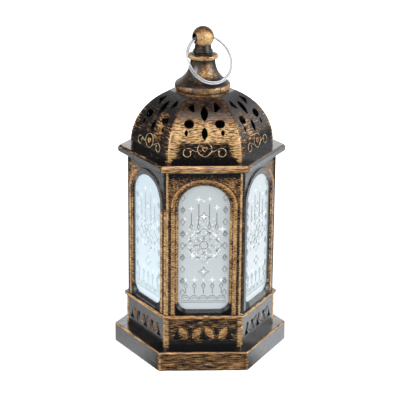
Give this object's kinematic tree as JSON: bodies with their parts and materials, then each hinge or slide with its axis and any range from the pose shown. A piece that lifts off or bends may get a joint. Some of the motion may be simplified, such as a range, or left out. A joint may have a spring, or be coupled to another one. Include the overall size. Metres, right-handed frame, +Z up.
{
  "type": "hexagonal table lantern",
  "caption": "Small hexagonal battery lantern with arched frosted panes, a pierced dome, a ball finial with a swinging split ring, a bayonet battery door and a slide switch.",
  "frame": {"origin": "middle of the foot's underside, on the surface that the lantern stands on", "axes": "+Z up to the finial, -Y out of the front window, +X to the front's right"},
  "size_m": [0.0738, 0.0642, 0.1398],
  "materials": {
    "lacquer": "black lacquer dry-brushed with gold-bronze",
    "pane": "frosted translucent sheet with a pale print",
    "nickel": "bright nickel",
    "steel": "plated steel",
    "black_plastic": "moulded",
    "board": "solder mask",
    "lamp_lens": "clear epoxy",
    "switch_plastic": "moulded"
  },
  "bodies": {
    "lantern": {"foot": "lacquer", "plinth": "lacquer", "eave": "lacquer", "dome": "lacquer", "finial": "lacquer", "finial_washer": "steel", "finial_screw": "steel", "base_tray": "black_plastic", "coin_cell": "steel", "circuit_board": "board", "contact_negative": "steel", "contact_positive": "steel", "led_lamp": "lamp_lens", "led_leads": "steel", "switch_housing": "steel", "base_screws": "steel", "board_screws": "steel", "wall_panel_1": "lacquer", "wall_panel_2": "lacquer", "wall_panel_3": "lacquer", "wall_panel_4": "lacquer", "wall_panel_5": "lacquer", "wall_panel_6": "lacquer", "window_pane_1": "pane", "window_pane_2": "pane", "window_pane_3": "pane", "window_pane_4": "pane", "window_pane_5": "pane", "window_pane_6": "pane"},
    "ring": {"split_ring": "nickel"},
    "door": {"battery_door": "black_plastic"},
    "knob": {"switch_knob": "switch_plastic"}
  },
  "joints": [
    {"name": "ring_swing", "type": "hinge", "parent": "lantern", "child": "ring", "pos_m": [0, 0, 0.1353], "axis": [-0.866, -0.5, 0], "range_deg": [0, 298]},
    {"name": "battery_door_turn", "type": "hinge", "parent": "lantern", "child": "door", "pos_m": [0, 0, 0.003], "axis": [0, 0, -1], "range_deg": [0, 45]},
    {"name": "switch_slide", "type": "slide", "parent": "lantern", "child": "knob", "axis": [1, 0, 0], "range_m": [0, 0.0025]}
  ]
}
